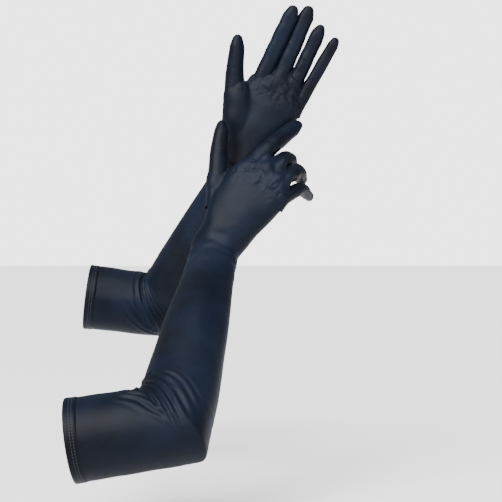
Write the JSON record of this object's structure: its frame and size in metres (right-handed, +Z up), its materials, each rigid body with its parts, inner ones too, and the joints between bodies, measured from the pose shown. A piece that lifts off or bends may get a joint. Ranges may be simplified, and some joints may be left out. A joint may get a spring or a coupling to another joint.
{
  "type": "opera gloves",
  "caption": "Pair of opera-length gloves in stretch satin, shaped as worn with one hand laid over the other wrist, hollow from hem to fingertips.",
  "frame": {"origin": "centre of the right glove's wrist, at the fold between its forearm and its hand", "axes": "+Z up, +X towards the viewer's right, +Y away from the viewer, who sees the right hand's back and the left hand's palm"},
  "size_m": [0.2847, 0.4313, 0.4531],
  "materials": {
    "panel_satin": "blue-black stretch satin, soft sheen",
    "digit_satin": "blue-black stretch satin, soft sheen",
    "hem_satin": "blue-black stretch satin, turned and stitched twice"
  },
  "bodies": {
    "left_forearm": {"left_forearm_back": "panel_satin", "left_forearm_front": "panel_satin"},
    "left_upper_sleeve": {"left_upper_sleeve_back": "panel_satin", "left_upper_sleeve_front": "panel_satin", "left_hem": "hem_satin"},
    "left_hand": {"left_hand_back": "panel_satin", "left_hand_palm": "panel_satin"},
    "left_index_lower": {"left_index_lower": "digit_satin"},
    "left_index_upper": {"left_index_upper": "digit_satin"},
    "left_middle_lower": {"left_middle_lower": "digit_satin"},
    "left_middle_upper": {"left_middle_upper": "digit_satin"},
    "left_ring_lower": {"left_ring_lower": "digit_satin"},
    "left_ring_upper": {"left_ring_upper": "digit_satin"},
    "left_little_lower": {"left_little_lower": "digit_satin"},
    "left_little_upper": {"left_little_upper": "digit_satin"},
    "left_thumb_lower": {"left_thumb_lower": "digit_satin"},
    "left_thumb_upper": {"left_thumb_upper": "digit_satin"},
    "right_forearm": {"right_forearm_back": "panel_satin", "right_forearm_front": "panel_satin"},
    "right_upper_sleeve": {"right_upper_sleeve_back": "panel_satin", "right_upper_sleeve_front": "panel_satin", "right_hem": "hem_satin"},
    "right_hand": {"right_hand_back": "panel_satin", "right_hand_palm": "panel_satin"},
    "right_index_lower": {"right_index_lower": "digit_satin"},
    "right_index_upper": {"right_index_upper": "digit_satin"},
    "right_middle_lower": {"right_middle_lower": "digit_satin"},
    "right_middle_upper": {"right_middle_upper": "digit_satin"},
    "right_ring_lower": {"right_ring_lower": "digit_satin"},
    "right_ring_upper": {"right_ring_upper": "digit_satin"},
    "right_little_lower": {"right_little_lower": "digit_satin"},
    "right_little_upper": {"right_little_upper": "digit_satin"},
    "right_thumb_lower": {"right_thumb_lower": "digit_satin"},
    "right_thumb_upper": {"right_thumb_upper": "digit_satin"}
  },
  "joints": [
    {"name": "gloves_apart", "type": "slide", "parent": "right_forearm", "child": "left_forearm", "axis": [0, 1, 0], "range_m": [0, 0.2]},
    {"name": "left_elbow", "type": "hinge", "parent": "left_forearm", "child": "left_upper_sleeve", "pos_m": [-0.06521, 0.19594, -0.06413], "axis": [0.031, 0.7689, 0.6386], "range_deg": [-70, 22]},
    {"name": "left_wrist", "type": "hinge", "parent": "left_forearm", "child": "left_hand", "pos_m": [0.028, 0.065, 0.089], "axis": [-0.903, -0.1951, 0.3828], "range_deg": [-4, 24]},
    {"name": "left_index_base", "type": "hinge", "parent": "left_hand", "child": "left_index_lower", "pos_m": [0.04384, 0.065, 0.17352], "axis": [0.9035, 0, -0.4285], "range_deg": [-10, 70]},
    {"name": "left_index_middle", "type": "hinge", "parent": "left_index_lower", "child": "left_index_upper", "pos_m": [0.05961, 0.06113, 0.20677], "axis": [0.9035, 0, -0.4285], "range_deg": [-11.25, 78.75]},
    {"name": "left_middle_base", "type": "hinge", "parent": "left_hand", "child": "left_middle_lower", "pos_m": [0.0657, 0.065, 0.17946], "axis": [0.9179, 0, -0.3967], "range_deg": [-10, 70]},
    {"name": "left_middle_middle", "type": "hinge", "parent": "left_middle_lower", "child": "left_middle_upper", "pos_m": [0.08074, 0.06235, 0.21426], "axis": [0.9179, 0, -0.3967], "range_deg": [-11.25, 78.75]},
    {"name": "left_ring_base", "type": "hinge", "parent": "left_hand", "child": "left_ring_lower", "pos_m": [0.07963, 0.065, 0.1703], "axis": [0.9035, 0, -0.4285], "range_deg": [-10, 70]},
    {"name": "left_ring_middle", "type": "hinge", "parent": "left_ring_lower", "child": "left_ring_upper", "pos_m": [0.09414, 0.06204, 0.2009], "axis": [0.9035, 0, -0.4285], "range_deg": [-11.25, 78.75]},
    {"name": "left_little_base", "type": "hinge", "parent": "left_hand", "child": "left_little_lower", "pos_m": [0.08537, 0.065, 0.15157], "axis": [0.8663, 0, -0.4996], "range_deg": [-10, 70]},
    {"name": "left_little_middle", "type": "hinge", "parent": "left_little_lower", "child": "left_little_upper", "pos_m": [0.10034, 0.06343, 0.17752], "axis": [0.8663, 0, -0.4996], "range_deg": [-11.25, 78.75]},
    {"name": "left_thumb_base", "type": "hinge", "parent": "left_hand", "child": "left_thumb_lower", "pos_m": [0.01741, 0.061, 0.14345], "axis": [0.5383, 0.8424, 0.0236], "range_deg": [-8, 14]},
    {"name": "left_thumb_middle", "type": "hinge", "parent": "left_thumb_lower", "child": "left_thumb_upper", "pos_m": [0.01893, 0.0588, 0.18737], "axis": [0.5383, 0.8424, 0.0236], "range_deg": [-9, 15.75]},
    {"name": "right_elbow", "type": "hinge", "parent": "right_forearm", "child": "right_upper_sleeve", "pos_m": [-0.03168, -0.16017, -0.15042], "axis": [0.0983, 0.6709, -0.735], "range_deg": [-67, 24]},
    {"name": "right_wrist", "type": "hinge", "parent": "right_forearm", "child": "right_hand", "pos_m": [0, 0, 0], "axis": [0.7713, 0.348, -0.533], "range_deg": [-2, 20]},
    {"name": "right_index_base", "type": "hinge", "parent": "right_hand", "child": "right_index_lower", "pos_m": [0.03223, 0.00767, 0.07935], "axis": [-0.7763, 0.2811, 0.5642], "range_deg": [-22, 3]},
    {"name": "right_index_middle", "type": "hinge", "parent": "right_index_lower", "child": "right_index_upper", "pos_m": [0.05554, 0.02159, 0.10449], "axis": [-0.7763, 0.2811, 0.5642], "range_deg": [-19.25, 2.62]},
    {"name": "right_middle_base", "type": "hinge", "parent": "right_hand", "child": "right_middle_lower", "pos_m": [0.05431, 0.0031, 0.08152], "axis": [-0.7965, 0.2803, 0.5357], "range_deg": [-56, 3]},
    {"name": "right_middle_middle", "type": "hinge", "parent": "right_middle_lower", "child": "right_middle_upper", "pos_m": [0.07312, 0.03393, 0.09336], "axis": [-0.7965, 0.2803, 0.5357], "range_deg": [-49, 2.62]},
    {"name": "right_ring_base", "type": "hinge", "parent": "right_hand", "child": "right_ring_lower", "pos_m": [0.06576, -0.00158, 0.07034], "axis": [-0.7763, 0.2811, 0.5642], "range_deg": [-56, 3]},
    {"name": "right_ring_middle", "type": "hinge", "parent": "right_ring_lower", "child": "right_ring_upper", "pos_m": [0.08311, 0.02581, 0.08057], "axis": [-0.7763, 0.2811, 0.5642], "range_deg": [-49, 2.62]},
    {"name": "right_little_base", "type": "hinge", "parent": "right_hand", "child": "right_little_lower", "pos_m": [0.06746, -0.00556, 0.05124], "axis": [-0.7264, 0.2816, 0.627], "range_deg": [-48, 3]},
    {"name": "right_little_middle", "type": "hinge", "parent": "right_little_lower", "child": "right_little_upper", "pos_m": [0.08537, 0.01574, 0.06243], "axis": [-0.7264, 0.2816, 0.627], "range_deg": [-42, 2.62]},
    {"name": "right_thumb_base", "type": "hinge", "parent": "right_hand", "child": "right_thumb_lower", "pos_m": [0.00177, 0.0139, 0.05382], "axis": [-0.4014, 0.8939, -0.1995], "range_deg": [-14, 1]},
    {"name": "right_thumb_middle", "type": "hinge", "parent": "right_thumb_lower", "child": "right_thumb_upper", "pos_m": [0.00294, 0.02398, 0.09663], "axis": [-0.4014, 0.8939, -0.1995], "range_deg": [-12.25, 0.88]}
  ],
  "couplings": [
    {"joint": "left_index_middle", "follows": "left_index_base", "ratio": 0.9},
    {"joint": "left_middle_middle", "follows": "left_middle_base", "ratio": 0.9},
    {"joint": "left_ring_middle", "follows": "left_ring_base", "ratio": 0.9},
    {"joint": "left_little_middle", "follows": "left_little_base", "ratio": 0.9},
    {"joint": "left_thumb_middle", "follows": "left_thumb_base", "ratio": 0.9},
    {"joint": "right_index_middle", "follows": "right_index_base", "ratio": 0.7},
    {"joint": "right_middle_middle", "follows": "right_middle_base", "ratio": 0.7},
    {"joint": "right_ring_middle", "follows": "right_ring_base", "ratio": 0.7},
    {"joint": "right_little_middle", "follows": "right_little_base", "ratio": 0.7},
    {"joint": "right_thumb_middle", "follows": "right_thumb_base", "ratio": 0.7}
  ]
}
